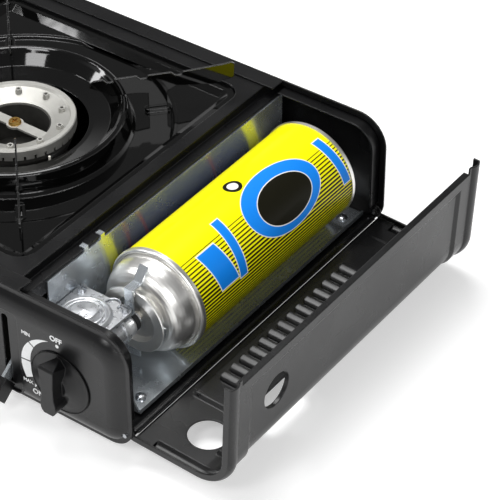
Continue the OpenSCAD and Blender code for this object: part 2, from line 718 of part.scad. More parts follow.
bar_w = 7;
module burner_head() color(cast) translate([burner_x, 0, 0]) difference() {
  union() {
    rotate_extrude() difference() {
      polygon([[head_bore / 2, bowl_top], [head_bore / 2, head_top - 6], [head_bore / 2 + 2, head_top - 5.4],
        [head_r - 4.5, head_top - 1.6], [head_r - 3.5, head_top], [head_r - 0.6, head_top], [head_r, head_top - 0.6],
        [head_r, bowl_top]]);
      polygon([[head_bore / 2 + 2, bowl_top - 1], [head_bore / 2 + 2, head_top - 7.5 + 0.8], [head_r - 4, head_top - 3.4],
        [head_r - 2.6, head_top - 3.4], [head_r - 2.6, bowl_top - 1]]);
    }
    for (i = [0:post_n - 1]) rotate([0, 0, (i + 0.5) * 360 / post_n])
      translate([head_bore / 2 + 7.6, 0, head_top - 6]) cylinder(d1 = 5, d2 = 4, h = 5.4);
    translate([-head_bore / 2 - 1, -bar_w / 2, bowl_top]) cube([head_bore + 2, bar_w, 1.4]);
    translate([0, 0, bowl_top]) cylinder(r = 5.5, h = 1.4);
  }
  for (i = [0:post_n - 1]) rotate([0, 0, (i + 0.5) * 360 / post_n])
    translate([head_bore / 2 + 7.6, 0, bowl_top - 1]) cylinder(d = 2.2, h = 12);
  for (i = [0:slot_n - 1]) rotate([0, 0, i * 360 / slot_n])
    translate([head_r - 4, -0.8, bowl_top - hair]) cube([6, 1.6, 2.4]);
  translate([0, 0, bowl_top - 1]) cylinder(d = 4, h = 5);
}

module burner_screw() color(brass) translate([burner_x, 0, 0]) difference() {
  union() {
    translate([0, 0, bowl_top - 2]) cylinder(d = 4, h = 5);
    translate([0, 0, bowl_top + 1.4]) cylinder(d1 = 8.4, d2 = 7.4, h = 1.8);
  }
  for (a = [0, 90]) rotate([0, 0, a]) translate([-2.4, -0.5, bowl_top + 2.2]) cube([4.8, 1, 2]);
}

bracket_w = 40;
bracket_foot = [38, 52];                 // where a foot of the bracket begins and ends
bracket_seat = 30;
module burner_bracket() color(zinc) {
  translate([burner_x, 0, 0]) difference() {
    along_y(-bracket_w / 2, bracket_w / 2) polygon(strip([
      [-bracket_foot[1], floor_z + sheet], [-bracket_foot[0], floor_z + sheet], [-bracket_seat, bowl_low],
      [bracket_seat, bowl_low], [bracket_foot[0], floor_z + sheet], [bracket_foot[1], floor_z + sheet]], sheet));
    translate([0, 0, bowl_low - 3]) cylinder(d = 10, h = 6);
  }
}

// ---------- ignition ----------

ign_x = knob_x - 19;
ign_z = 24;
module igniter_body() color("#3a3a3c") {
  rod_y(ign_x, ign_z, 6, front_y + 6, tray_y0 - 1);
  block(ign_x - 6, ign_x + 6, tray_y0 - 12, tray_y0, ign_z - 8, ign_z + 8);
}

lead_r = 1.2;
lead_sides = 8;
electrode_a = -20;
electrode_z = 58;
ceramic_d = 4.4;
ceramic_l = 14;
electrode_r = head_r + 4.4;
function electrode_at(z) = [burner_x + electrode_r * cos(electrode_a), electrode_r * sin(electrode_a), z];
lead_z = floor_z + 2;
lead_points = [
  [ign_x, tray_y0 - 6, ign_z - 8], [ign_x, tray_y0 - 6, lead_z], [tray_x - 2.5, tray_y0 - 6, lead_z],
  [tray_x - 2.5, tray_y0 + 17, lead_z], [burner_x + 70, -70, lead_z], [burner_x + 55, -30, 28], electrode_at(46),
  electrode_at(electrode_z)];
module igniter_lead() color("#8c2f2b") polyhedron(
  tube_rings(lead_points, lead_r, lead_sides), tube_faces(len(lead_points), lead_sides));

module spark_electrode() color("#e6e2d8") {
  translate(electrode_at(electrode_z)) cylinder(d = ceramic_d, h = ceramic_l);
  translate(electrode_at(electrode_z + ceramic_l)) cylinder(d = 1.6, h = 8);
}

// ---------- lock lever ----------

lever_y = front_y + lever_setback;
bracket_x = lever_x - lever_t / 2 - 1.5 - sheet;
module lever_bracket() color(zinc) difference() {
  union() {
    along_x(bracket_x, bracket_x + sheet) polygon([[lever_y - 12, floor_z], [lever_y + 12, floor_z],
      [lever_y + 8, lever_h + 8], [lever_y - 8, lever_h + 8]]);
    block(bracket_x - 12, bracket_x + sheet, lever_y - 12, lever_y + 12, floor_z, floor_z + sheet);
  }
  rod_x(lever_y, lever_h, lever_pin_d / 2, bracket_x - 1, bracket_x + 2);
}

module lever_pin() color(steel) {
  rod_x(lever_y, lever_h, lever_pin_d / 2, bracket_x - 1.5, lever_x + lever_t / 2 + 0.4);
  rod_x(lever_y, lever_h, lever_pin_d / 2 + 1.2, bracket_x - 2.7, bracket_x - 0.2);
}

crank_a = 90 + (lever_low + lever_high) / 2;   // direction of the crank at rest, from +Y towards +Z
// Lever in its locked position: the arm slopes down to the front
module lock_lever() color(zinc) translate([0, lever_y, lever_h]) {
  difference() {
    along_x(lever_x - lever_t / 2, lever_x + lever_t / 2) {
      circle(lever_w / 2 + 1.5);
      rotate(180 + lever_low) translate([0, -lever_w / 2]) square([lever_l, lever_w]);
      rotate(crank_a) translate([0, -3]) square([crank_r, 6]);
      rotate(crank_a) translate([crank_r, 0]) circle(3);
    }
    rod_x(0, 0, lever_pin_d / 2 + pin_play, lever_x - 5, lever_x + 5);
  }
}

cap_l = 11;
module lever_cap() color(black) translate([0, lever_y, lever_h]) rotate([lever_low, 0, 0]) difference() {
  block(lever_x - 4, lever_x + 4, -lever_l - 2, -lever_l + cap_l, -lever_w / 2 - 1.6, lever_w / 2 + 1.6);
  block(lever_x - lever_t / 2, lever_x + lever_t / 2, -lever_l, -lever_l + cap_l + 1, -lever_w / 2, lever_w / 2);
}

crank_y = crank_r * cos(crank_a);
crank_z = crank_r * sin(crank_a);
module crank_pin() color(steel)
  rod_x(lever_y + crank_y, lever_h + crank_z, 1.6, lever_x + lever_t / 2, lever_x + lever_t / 2 + 3);

slide_x0 = lever_x + lever_t / 2 + 0.8;
slide_y0 = lever_y + crank_y - 5;
slide_z0 = bed_z + tray_bend_r + 0.3;
slide_z1 = window_z1 - 0.3;
neck_r = 17.4;
module lock_slide() color(zinc) {
  difference() {
    along_x(slide_x0, slide_x0 + slide_t) {
      translate([slide_y0, lever_h + crank_z - 7]) square([10, 14]);
      translate([slide_y0, slide_z0]) square([6, lever_h + crank_z - slide_z0]);
      translate([slide_y0, slide_z0]) square([fork_y + slide_t - slide_y0, slide_z1 - slide_z0]);
    }
    translate([slide_x0 - 1, lever_y + crank_y, lever_h + crank_z]) rotate([90, 0, 90]) linear_extrude(4)
      rotate(90) obround(9, 3.2 + 2 * pin_play + 0.4);
  }
  along_y(fork_y, fork_y + slide_t) {
    translate([slide_x0, slide_z0]) square([can_x - slide_x0 - 6, slide_z1 - slide_z0]);
    difference() {
      translate([can_x, can_z]) circle(collar_d / 2 - 0.6);
      translate([can_x, can_z]) circle(neck_r + 0.5);
      translate([can_x - 40, can_z + 2]) square([80, 40]);
    }
    translate([can_x - 8, slide_z0]) square([10, can_z - collar_d / 2 + 2 - slide_z0]);
  }
}

// ---------- cartridge ----------

module along_can() {
  translate([can_x, can_y, can_z]) rotate([-90, 0, 0]) children();
}

rim_r = can_rim_d / 2;
wall_r = can_d / 2;
seam_h = 3.6;
module can_wall() color("#f4ec10") along_can() difference() {
  translate([0, 0, seam_h]) cylinder(r = wall_r, h = can_len - 2 * seam_h);
  translate([0, 0, seam_h - 1]) cylinder(r = wall_r - can_wall_t, h = can_len);
}

seam_in = rim_r - 2.8;                   // inside of the seamed rims
seam_r = (rim_r - seam_in) / 2;

seam_line = concat([[seam_in, seam_h], [rim_r, seam_h]], arc([seam_in + seam_r, seam_r], seam_r, 360, 180, 8));

root_r = 20.4;
root_y = -collar_reach + 6.5;
dome_y = -1.5;                           // where the dome turns into the groove beside the seam
dome_line = concat([[neck_r - 1, -collar_reach + 3], [neck_r - 0.4, root_y - 1], [root_r - 1.6, root_y - 0.1]],
  [for (a = [0:9:90]) [root_r + (seam_in - 1.3 - root_r) * sin(a), dome_y + (root_y - dome_y) * cos(a)]]);
module can_dome() color("#d5d6d3") along_can() rotate_extrude()
  polygon(strip(dome_line, can_wall_t, seam_line));

base_line = [[0, -9], [12, -8], [22, -5.6], [seam_in - 2, -3.4]];
base_seam = [for (i = [len(seam_line) - 1:-1:0]) [seam_line[i].x, -seam_line[i].y]];
module can_base() color("#c9cac7") along_can() translate([0, 0, can_len]) rotate_extrude()
  polygon(strip(base_line, can_wall_t, base_seam));

collar_t = 1;
cup_depth = 5;
// Section of the cup, its collar first; Z from the collar's front face
cup_line = [[cup_d / 2 - 0.8, 0], [collar_d / 2 - 0.5, 0], [collar_d / 2, 0.5], [collar_d / 2 - 0.3, collar_t],
  [neck_r, collar_t + 0.2], [neck_r - 1, 3], [neck_r - 1 - can_wall_t, cup_depth + 1],
  [stem_d / 2 + 1, cup_depth + 1], [stem_d / 2 + 1, cup_depth], [6, cup_depth], [cup_d / 2 - 2, cup_depth - 1]];
module mounting_cup() color("#bfc0bd") along_can() translate([0, 0, -collar_reach]) difference() {
  rotate_extrude() polygon(cup_line);
  translate([-2.5, -collar_d / 2 - 1, -1]) cube([5, 4.6, 2.4]);
}

module valve_stem() color("#e8e6df") along_can()
  translate([0, 0, -collar_reach + 2.2 + seat_gap]) union() {
    cylinder(d = stem_d, h = cup_depth + 3);
    translate([0, 0, cup_depth - 1.2 - seat_gap]) cylinder(d = stem_d + 5, h = 4);
  }

// ---------- lid ----------

lid_end = body_d / 2 - sheet - lid_end_play;   // half length of the lid
lid_edge_x = tray_x + lid_gap;                 // hem of the closed lid
lid_low_z = hinge_h + lid_foot;
lid_corner_x = body_w / 2 - shoulder_r;
lid_corner_z = deck_h - shoulder_r;
hem_h = 4;
horn_w = bead_w + 2;
rise_w = 3;                                    // width of the slope down into a recess

// Puts a lid drawn closed into its open position
module lid_opened() {
  translate([hinge_x, 0, hinge_h]) rotate([0, lid_open, 0]) translate([-hinge_x, 0, -hinge_h]) children();
}

bead_r = (pow(bead_w / 2, 2) + pow(bead_h, 2)) / (2 * bead_h);
bead_a = asin(bead_w / 2 / bead_r);

// Outside of the lid from one end inwards: flange, then bead or flat; along Y, and outwards
function lid_end_line(bead) = concat([[-lid_end, -lid_flange]],
  bead ? arc([bead_w / 2 - lid_end, bead_h - bead_r], bead_r, 90 + bead_a, 90 - bead_a, 8) : [[-lid_end, 0]]);
function flipped(p) = [for (i = [len(p) - 1:-1:0]) [-p[i].x, p[i].y]];

// Whole section of the lid, with a recess between y0 and y1
function lid_line(bead, y0 = 0, y1 = 0) = concat(lid_end_line(bead),
  y1 > y0 ? [[y0, 0], [y0 + rise_w, -recess_d], [y1 - rise_w, -recess_d], [y1, 0]] : [],
  flipped(lid_end_line(bead)));

module lid_top(x0, x1, line) translate([0, 0, deck_h]) along_x(x0, x1) polygon(strip(line, sheet));
module lid_side(z0, z1, line) translate([body_w / 2, 0, z0]) linear_extrude(z1 - z0)
  polygon([for (q = strip(line, sheet)) [q.y, q.x]]);
module lid_corner(line) translate([lid_corner_x, 0, lid_corner_z]) rotate([90, 0, 0])
  rotate_extrude(angle = 90) polygon([for (q = strip(line, sheet)) [shoulder_r + q.y, -q.x]]);

top_recess_y = lid_end - 19.5;
side_recess_y = front_y + 51.5;
top_recess_x = lid_edge_x + 6.5;
side_recess_z = hinge_h + 8.5;
bead_low = hinge_h + 14;
hole_x = tray_x + 35.9;
hole_y = front_y + 48.8;
side_hole_z = hinge_h + 34.3;
side_hole_y = front_y + 31.6;

module lid_ear() along_y(-lid_end, -lid_end + sheet) intersection() {
  body_section();
  union() {
    translate([hinge_x, hinge_h]) circle(ear_r);
    translate([body_w / 2 - lid_flange, hinge_h]) square([lid_flange, lid_foot + lid_flange]);
  }
}

// Slopes that end the two recesses, and the wall where the narrower one begins
module recess_ends() {
  along_y(-top_recess_y + 1, top_recess_y - 1) translate([top_recess_x, deck_h])
    polygon(strip([[-0.5, 0], [0, 0], [rise_w, -recess_d], [rise_w + 0.5, -recess_d]], sheet));
  along_y(side_recess_y + 1, top_recess_y - 1) translate([body_w / 2, side_recess_z])
    polygon(strip([[-recess_d, rise_w + 0.5], [-recess_d, rise_w], [0, 0], [0, -0.5]], sheet));
  translate([body_w / 2, 0, lid_corner_z - sheet]) linear_extrude(sheet) polygon([
    [0, -top_recess_y], [0, side_recess_y], [-recess_d, side_recess_y + rise_w],
    [-recess_d - sheet, side_recess_y + rise_w], [-recess_d - sheet, rise_w - top_recess_y],
    [-sheet, -top_recess_y]]);
}

module lid_shell() color(black) lid_opened() difference() {
  union() {
    intersection() {
      lid_top(horn_x, lid_edge_x, lid_line(true));
      for (s = [0, 1]) mirror([0, s, 0]) block(0, body_w, -body_d, horn_w - lid_end, 0, 2 * deck_h);
    }
    lid_top(lid_edge_x, top_recess_x, lid_line(true));
    lid_top(top_recess_x, lid_corner_x, lid_line(true, -top_recess_y, top_recess_y));
    lid_corner(lid_line(true, -top_recess_y, top_recess_y));
    lid_side(bead_low, lid_corner_z, lid_line(true, side_recess_y, top_recess_y));
    lid_side(side_recess_z, bead_low, lid_line(false, side_recess_y, top_recess_y));
    lid_side(lid_low_z, side_recess_z, lid_line(false));
    for (s = [0, 1]) mirror([0, s, 0]) {
      lid_ear();
      rod_y(hinge_x, hinge_h, knuckle_d / 2, -lid_end - lid_end_play + 0.3, -lid_end + 3);
      translate([body_w / 2, 0, bead_low]) linear_extrude(sheet)
        polygon([for (q = concat(lid_end_line(true), [[bead_w - lid_end, -sheet], [sheet - lid_end, -sheet]]))
          [q.y, q.x]]);
    }
    block(lid_edge_x, lid_edge_x + sheet, horn_w - lid_end, lid_end - horn_w, deck_h - hem_h, deck_h);
    recess_ends();
    louvre_places() louvre();
    translate([hole_x, hole_y, deck_h - recess_d - sheet - collar_h])
      cylinder(d = top_hole_d + 2 * sheet, h = collar_h + hair);
  }
  for (s = [-1, 1]) rod_y(hinge_x, hinge_h, pin_d / 2 + pin_play, s * lid_end - 6, s * lid_end + 6);
  translate([hole_x, hole_y, deck_h / 2]) cylinder(d = top_hole_d, h = deck_h);
  translate([0, side_hole_y, side_hole_z]) rotate([0, 90, 0]) cylinder(d = side_hole_d, h = body_w);
  louvre_places() louvre_inside();
  lid_window();
}

// Window beside the bend of the lid, behind the round hole
window_from = hinge_h + 41.7;
window_h = 13;
window_len = 38;
module lid_window() translate([0, hole_y + 14 + window_len / 2, window_from + window_h / 2])
  along_x(lid_corner_x, body_w) obround(window_len, window_h);

collar_h = 1.6;
louvre_len = 15;
louvre_w = 6.4;
louvre_h = 2.8;
louvre_wall = 0.8;
louvre_y0 = front_y + 76;
louvre_z0 = side_recess_z + rise_w + 1.5;
module louvre_places()
  for (i = [0:louvre_n - 1])
    translate([body_w / 2 - recess_d - sheet, louvre_y0 + i * louvre_pitch, louvre_z0]) children();

// Scoop of a louvre: it rises inwards from -Y and ends in a cut edge; t shrinks it on all sides
module louvre_form(t, reach, root) intersection() {
  linear_extrude(louvre_len) polygon(concat(
    [for (a = [0:15:90]) [-(louvre_h - t) * sin(a), -(louvre_w - t) * cos(a)]],
    [[t - louvre_h, reach], [root, reach], [root, t - louvre_w]]));
  translate([-louvre_w, 0, 0]) rotate([90, 0, 90]) linear_extrude(3 * louvre_w) {
    translate([t - louvre_w, t + louvre_h]) square([louvre_w - t + reach, louvre_len - 2 * (t + louvre_h)]);
    translate([t + louvre_h - louvre_w, t]) square([louvre_w - t - louvre_h + reach, louvre_len - 2 * t]);
    for (z = [t + louvre_h, louvre_len - t - louvre_h]) translate([t + louvre_h - louvre_w, z]) circle(louvre_h);
  }
}
module louvre() louvre_form(0, hair, hair);
module louvre_inside() louvre_form(louvre_wall, 1, sheet + 1);

pin_out = 1.4;
module hinge_pins() color(steel) for (s = [0, 1]) mirror([0, s, 0])
  rod_y(hinge_x, hinge_h, pin_d / 2, front_y - pin_out, -lid_end + 3.5);

// ---------- drip pan ----------

ledge_z = plate_z - ledge_h;
pan_rim_z = ledge_z + sheet;             // upper face of the pan's rim
pan_floor_z = pan_rim_z - 3.4;
pan_low_z = pan_floor_z - 2;
ring_z = pan_low_z + ring_h;
well_r = 100;
pan_fit = 0.5;
slope_w = 5;
rim_flat = 4.5;
pan_in = pan_fit + rim_flat + slope_w;
support_a = atan2(pan_d, pan_w);

// Upper face of the pan from the hole outwards to the edge of the round well
ring_line = concat(
  [[pan_hole_d / 2, pan_low_z + 2.2], [pan_hole_d / 2 + 3, pan_low_z + 2.6], [ring_r - 9, pan_low_z + 5],
   [ring_r - 3.4, ring_z - 3]],
  arc([ring_r, ring_z - 2.4], 2.4, 150, 30, 5),
  [[ring_r + 3, ring_z - 5], [ring_r + 4.6, pan_low_z + 2], [ring_r + 6.4, pan_low_z], [well_r - 3, pan_low_z],
   [well_r - 1, pan_floor_z - 0.4], [well_r + 1.5, pan_floor_z]]);

boss_l = 17;
boss_w = 6;
boss_h = 2.4;
slot_r = 90;
module support_places(k) rotate([0, 0, [support_a, 180 - support_a, 180 + support_a, -support_a][k]]) children();

module drip_pan() color(enamel) translate([burner_x, 0, 0]) difference() {
  union() {
    frame_sweep(pan_w, pan_d, pan_r, pan_r) polygon(strip([[-pan_in, pan_floor_z], [-pan_fit - rim_flat, pan_rim_z],
      [-pan_fit, pan_rim_z]], sheet));
    translate([0, 0, pan_floor_z - sheet]) linear_extrude(sheet) difference() {
      rounded(pan_w - 2 * pan_in + 0.4, pan_d - 2 * pan_in + 0.4, 2);
      circle(well_r + 1, $fn = 180);
    }
    intersection() {
      rotate_extrude($fn = 180) polygon(strip(ring_line, sheet));
      translate([0, 0, pan_low_z - 2]) linear_extrude(ring_h + 10) rounded(pan_w - 2 * pan_in, pan_d - 2 * pan_in, 2);
    }
    for (k = [0:3]) support_places(k) translate([slot_r, 0, pan_low_z - hair]) linear_extrude(boss_h)
      obround(boss_l, boss_w);
  }
  for (k = [0:3]) support_places(k) translate([slot_r, 0, pan_low_z - 3]) linear_extrude(boss_h + 6)
    square([leg_w - 2, support_t + 0.6], center = true);
  for (k = [0:3]) support_places(k) translate([slot_r, 0, pan_low_z - sheet - 1]) linear_extrude(boss_h)
    obround(boss_l - 2, boss_w - 2);
}

leg_w = 12;
support_top = deck_h + support_h;
support_low = max(ring_z + 0.3, deck_h + 5);
leg_x0 = slot_r - leg_w / 2;
leg_x1 = slot_r + leg_w / 2;
notch_r = [60, 81, 103];
function notch(r) = [[r - 4, support_top + 0.4], [r - 1.6, support_top - 2],
  [r + 2.4, support_top - 2], [r + 3.4, support_top]];

// One fin in its own plane: r along X, height along Y
module support_plate() polygon(concat(
  [[47.5, support_top - 4.5], [48, support_top - 1.5], [50.5, support_top]],
  [for (r = notch_r) each notch(r)],
  [[support_r - 8, support_top + 2], [support_r - 2, support_top + 3], [support_r, support_top + 1.5],
   [support_r - 0.5, support_low + 4], [support_r - 14, support_low + 0.5], [slot_r + leg_w, support_low + 2.4],
   [leg_x1, support_low - 1], [leg_x1, pan_low_z + boss_h], [leg_x1 - 1.4, pan_low_z + boss_h],
   [leg_x1 - 1.4, pan_low_z - 4], [leg_x0 + 1.4, pan_low_z - 4], [leg_x0 + 1.4, pan_low_z + boss_h],
   [leg_x0, pan_low_z + boss_h], [leg_x0, support_low - 1], [ring_r + 8, support_low],
   [ring_r - 8, support_low], [ring_r - 14, support_low + 4]]));

module pan_support(k) color(enamel) translate([burner_x, 0, 0]) support_places(k)
  translate([0, support_t / 2, 0]) rotate([90, 0, 0]) linear_extrude(support_t) support_plate();

// ---------- knob ----------

knob_gap = 0.6;
knob_y = front_y - bulge - knob_gap;     // back face of the knob
knob_r = knob_d / 2;
skirt_h = 1.6;
grip_top = knob_r - 2.6;                 // reach of the grip's pointed end
grip_low = knob_r - 5;                   // reach of its round end
grip_w = 5.4;                            // half of the grip's width
grip_waist = 4.4;
module knob() color("#1c1c1d") translate([knob_x, knob_y, knob_h]) rotate([90, 0, 0]) difference() {
  union() {
    rotate_extrude() polygon(concat(
      [[0, 0], [knob_r - 0.4, 0], [knob_r, 0.4], [knob_r, skirt_h - 0.4], [knob_r - 0.4, skirt_h], [knob_r - 1.6, skirt_h]],
      [for (a = [0:10:80]) [knob_r - 1.8 - 13 * sin(a), skirt_h + 4.4 * (1 - cos(a))]],
      [[0, skirt_h + 3.6]]));
    intersection() {
      linear_extrude(knob_l) knob_grip();
      translate([-knob_r, 0, 0]) rotate([90, 0, 90]) linear_extrude(knob_d) polygon([
        [-grip_low, 0], [-grip_low, knob_l - 1], [1 - grip_low, knob_l], [grip_top - 6.5, knob_l],
        [grip_top - 5, knob_l - 1], [grip_top, skirt_h + 1], [grip_top, 0]]);
    }
  }
  translate([0, 0, -1]) cylinder(d = spindle_d, h = 11);
}

// Bar with a waist, a pointed upper end and a round lower end
module knob_grip() polygon(concat(
  [[-1.6, grip_top], [1.6, grip_top], [grip_w, grip_top - 5], [grip_waist, 5], [grip_waist, -4], [grip_w, grip_w - grip_low + 3]],
  arc([0, grip_w - grip_low], grip_w, 0, -180, 12),
  [[-grip_w, grip_w - grip_low + 3], [-grip_waist, -4], [-grip_waist, 5], [-grip_w, grip_top - 5]]));

module knob_spindle() color(steel) rod_y(knob_x, knob_h, spindle_d / 2, knob_y - 10, tray_y0 - 6);

module igniter_cam() color("#d8d4c8") {
  y0 = front_y + sheet + 0.6;
  difference() {
    union() {
      rod_y(knob_x, knob_h, 6, y0, y0 + 4);
      translate([knob_x, y0 + 4, knob_h]) rotate([90, 0, 0]) linear_extrude(4) rotate(200) square([11, 4]);
    }
    rod_y(knob_x, knob_h, spindle_d / 2, y0 - 1, y0 + 6);
  }
}

// ---------- place in the row's frame ----------

lid_dx = horn_x - hinge_x;
lid_dz = deck_h + bead_h - hinge_h;
x_max = hinge_x + lid_dx * cos(lid_open) + lid_dz * sin(lid_open);
shift_x = (body_w / 2 - x_max) / 2;
shift_y = (knob_l + knob_gap) / 2;
module placed() {
  translate([shift_x, shift_y, 0]) children();
}

placed() base_pan();
placed() top_plate();
placed() front_panel();
placed() back_panel();
placed() cartridge_tray();
placed() feet();
placed() tray_screws();
placed() case_screws();
placed() regulator_body();
placed() diaphragm_cover();
placed() cover_screws();
placed() nozzle();
placed() nozzle_seal();
placed() guide_tongue();
placed() guide_spring();
placed() gas_pipe();
placed() pipe_nuts();
placed() injector();
placed() mixing_tube();
placed() burner_bowl();
placed() burner_head();
placed() burner_screw();
placed() burner_bracket();
placed() igniter_body();
placed() igniter_lead();
placed() spark_electrode();
placed() lever_bracket();
placed() lever_pin();
placed() lid_shell();
placed() drip_pan();
placed() pan_support(0);  // support_back_right
placed() pan_support(1);  // support_back_left
placed() pan_support(2);  // support_front_left
placed() pan_support(3);  // support_front_right
placed() knob();
placed() knob_spindle();
placed() igniter_cam();
placed() lock_lever();
placed() lever_cap();
placed() crank_pin();
placed() lock_slide();
placed() can_wall();
placed() can_dome();
placed() can_base();
placed() mounting_cup();
placed() valve_stem();
placed() hinge_pins();
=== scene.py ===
# Butane cassette stove with its lid open: finishes, reshaped knob, printed dial, studio and camera
import json
import math

import bpy
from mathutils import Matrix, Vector


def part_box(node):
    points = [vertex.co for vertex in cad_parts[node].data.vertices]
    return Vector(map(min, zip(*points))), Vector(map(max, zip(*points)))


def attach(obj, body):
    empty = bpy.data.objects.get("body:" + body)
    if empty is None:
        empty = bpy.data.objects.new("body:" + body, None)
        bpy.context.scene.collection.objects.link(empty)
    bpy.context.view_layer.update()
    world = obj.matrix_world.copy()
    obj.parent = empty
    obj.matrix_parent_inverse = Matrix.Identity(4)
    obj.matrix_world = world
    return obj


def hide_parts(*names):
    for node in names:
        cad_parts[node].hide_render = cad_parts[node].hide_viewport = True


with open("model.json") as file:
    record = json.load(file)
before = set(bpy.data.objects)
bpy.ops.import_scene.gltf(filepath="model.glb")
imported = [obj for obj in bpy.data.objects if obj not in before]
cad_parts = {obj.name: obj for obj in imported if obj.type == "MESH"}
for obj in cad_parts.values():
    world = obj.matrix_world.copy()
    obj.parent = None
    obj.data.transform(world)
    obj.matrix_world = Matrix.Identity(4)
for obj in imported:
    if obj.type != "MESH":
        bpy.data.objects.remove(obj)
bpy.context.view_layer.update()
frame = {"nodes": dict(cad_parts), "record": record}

nodes = frame["nodes"]
mm = 0.001


def colour(hexValue):
    # sRGB hex to linear, with alpha
    parts = [int(hexValue[i:i + 2], 16) / 255 for i in (1, 3, 5)]
    return tuple(p / 12.92 if p <= 0.04045 else ((p + 0.055) / 1.055) ** 2.4 for p in parts) + (1.0,)


def addNode(tree, kind, inputs=(), **settings):
    # Adds one shader node; inputs are sockets or plain values, by name, by number or in order.
    # A Mix of colours takes inputs 0, 6 and 7 and gives output 2.
    node = tree.nodes.new("ShaderNode" + kind)
    for key, value in settings.items():
        setattr(node, key, value)
    for key, value in inputs.items() if isinstance(inputs, dict) else enumerate(inputs):
        if isinstance(value, bpy.types.NodeSocket):
            tree.links.new(value, node.inputs[key])
        elif value is not None:
            node.inputs[key].default_value = value
    return node


def newFinish(name, base, metallic, roughness, more=None):
    # Material with the fixed values of its shader, and the object's own coordinates
    material = bpy.data.materials.new(name)
    material.use_nodes = True
    tree = material.node_tree
    shader = tree.nodes["Principled BSDF"]
    fixed = {"Base Color": colour(base), "Metallic": metallic, "Roughness": roughness, **(more or {})}
    for key, value in fixed.items():
        shader.inputs[key].default_value = value
    place = addNode(tree, "TexCoord").outputs["Object"]
    return material, tree, shader, place


skin = dict(edgeSamples=6, noiseLow=0.3, noiseHigh=0.7)   # a noise seldom leaves this span


def grain(tree, shader, place, size, depth, detail=3.0, stretch=(1, 1, 1), edge=None):
    # Bump of lumps about size metres across and depth metres high.
    # An edge radius rounds the sharp edges of a sheet, as its coating does.
    spot = addNode(tree, "Mapping", {"Vector": place, "Scale": stretch}).outputs[0]
    noise = addNode(tree, "TexNoise", {"Vector": spot, "Scale": 1 / size, "Detail": detail}).outputs["Fac"]
    soft = addNode(tree, "Bevel", {"Radius": edge}, samples=skin["edgeSamples"]).outputs[0] if edge else None
    bump = addNode(tree, "Bump", {"Height": noise, "Strength": 1.0, "Distance": depth, "Normal": soft})
    tree.links.new(bump.outputs[0], shader.inputs["Normal"])


def vary(tree, shader, place, socket, size, low, high, detail=2.0):
    # Lets a number or a colour drift between low and high in patches about size metres across
    noise = addNode(tree, "TexNoise", {"Vector": place, "Scale": 1 / size, "Detail": detail}).outputs["Fac"]
    if isinstance(low, str):
        drift = addNode(tree, "Mix", {0: noise, 6: colour(low), 7: colour(high)}, data_type="RGBA").outputs[2]
    else:
        drift = addNode(tree, "MapRange", {
            "Value": noise, "From Min": skin["noiseLow"], "From Max": skin["noiseHigh"],
            "To Min": low, "To Max": high}).outputs[0]
    tree.links.new(drift, shader.inputs[socket])


def powderCoat():
    # Polyester powder coat on pressed steel: soft sheen with a fine orange peel
    material, tree, shader, place = newFinish("black powder coat", "#0e0e0f", 0.0, 0.28,
                                              {"Specular IOR Level": 0.38})
    vary(tree, shader, place, "Roughness", 30 * mm, 0.24, 0.32)
    grain(tree, shader, place, 0.9 * mm, 0.012 * mm, edge=1.0 * mm)
    return material


def vitreousEnamel():
    # Vitreous enamel fired on steel: deep black glass with slow waves in it
    material, tree, shader, place = newFinish("black vitreous enamel", "#060606", 0.0, 0.06, {"IOR": 1.52})
    grain(tree, shader, place, 22 * mm, 0.12 * mm, detail=1.0, edge=0.8 * mm)
    return material


def galvanisedSheet():
    # Hot-dip galvanised sheet: bluish zinc with faint spangle
    material, tree, shader, place = newFinish("galvanised sheet", "#d0d7dd", 0.85, 0.24)
    vary(tree, shader, place, "Base Color", 9 * mm, "#c9d1d8", "#e0e5e9", detail=4.0)
    vary(tree, shader, place, "Roughness", 14 * mm, 0.18, 0.3, detail=4.0)
    grain(tree, shader, place, 14 * mm, 0.02 * mm, detail=1.0)
    return material


def zincCasting():
    # Tumbled zinc die casting: bright, with soft dents
    material, tree, shader, place = newFinish("tumbled zinc casting", "#cfd1d4", 0.85, 0.3)
    vary(tree, shader, place, "Roughness", 3 * mm, 0.24, 0.38, detail=3.0)
    grain(tree, shader, place, 2.2 * mm, 0.1 * mm, edge=0.5 * mm)
    return material


def sandCastAluminium():
    # Sand-cast aluminium, blasted: pale matt grain
    material, tree, shader, place = newFinish("blasted cast aluminium", "#b5b4af", 0.75, 0.5)
    vary(tree, shader, place, "Base Color", 8 * mm, "#a7a6a1", "#c2c1bc", detail=5.0)
    grain(tree, shader, place, 0.7 * mm, 0.06 * mm, detail=4.0)
    return material


def shadeDarkenedAluminium():
    # Inside of the burner: cast aluminium painted dark as painted shade for the shade inside the burner's
    # bowl; its darker and lighter patches are random tone
    material, tree, shader, place = newFinish("aluminium with painted shade", "#3a3937", 0.5, 0.55)
    vary(tree, shader, place, "Base Color", 6 * mm, "#2a2927", "#4b4a47", detail=5.0)
    grain(tree, shader, place, 0.7 * mm, 0.06 * mm, detail=4.0)
    return material


def turnedBrass():
    # Turned brass, lightly tarnished: warm, with darker patches
    material, tree, shader, place = newFinish("turned brass", "#c39a4e", 1.0, 0.3)
    vary(tree, shader, place, "Base Color", 2 * mm, "#b08745", "#d3ad62")
    grain(tree, shader, place, 0.5 * mm, 0.02 * mm)
    return material


def platedSteel():
    # Zinc-plated machine steel: bright, with an even satin
    material, tree, shader, place = newFinish("plated steel", "#b3b6ba", 1.0, 0.28)
    vary(tree, shader, place, "Roughness", 2 * mm, 0.22, 0.36)
    grain(tree, shader, place, 0.6 * mm, 0.01 * mm)
    return material


def tinplate():
    # Tinplate, pressed and seamed: a soft bright sheen with rings left by the roller
    material, tree, shader, place = newFinish("bright tinplate", "#f0efec", 0.92, 0.3)
    vary(tree, shader, place, "Roughness", 12 * mm, 0.29, 0.36)
    grain(tree, shader, place, 2.4 * mm, 0.01 * mm, stretch=(0.2, 3, 0.2))
    return material


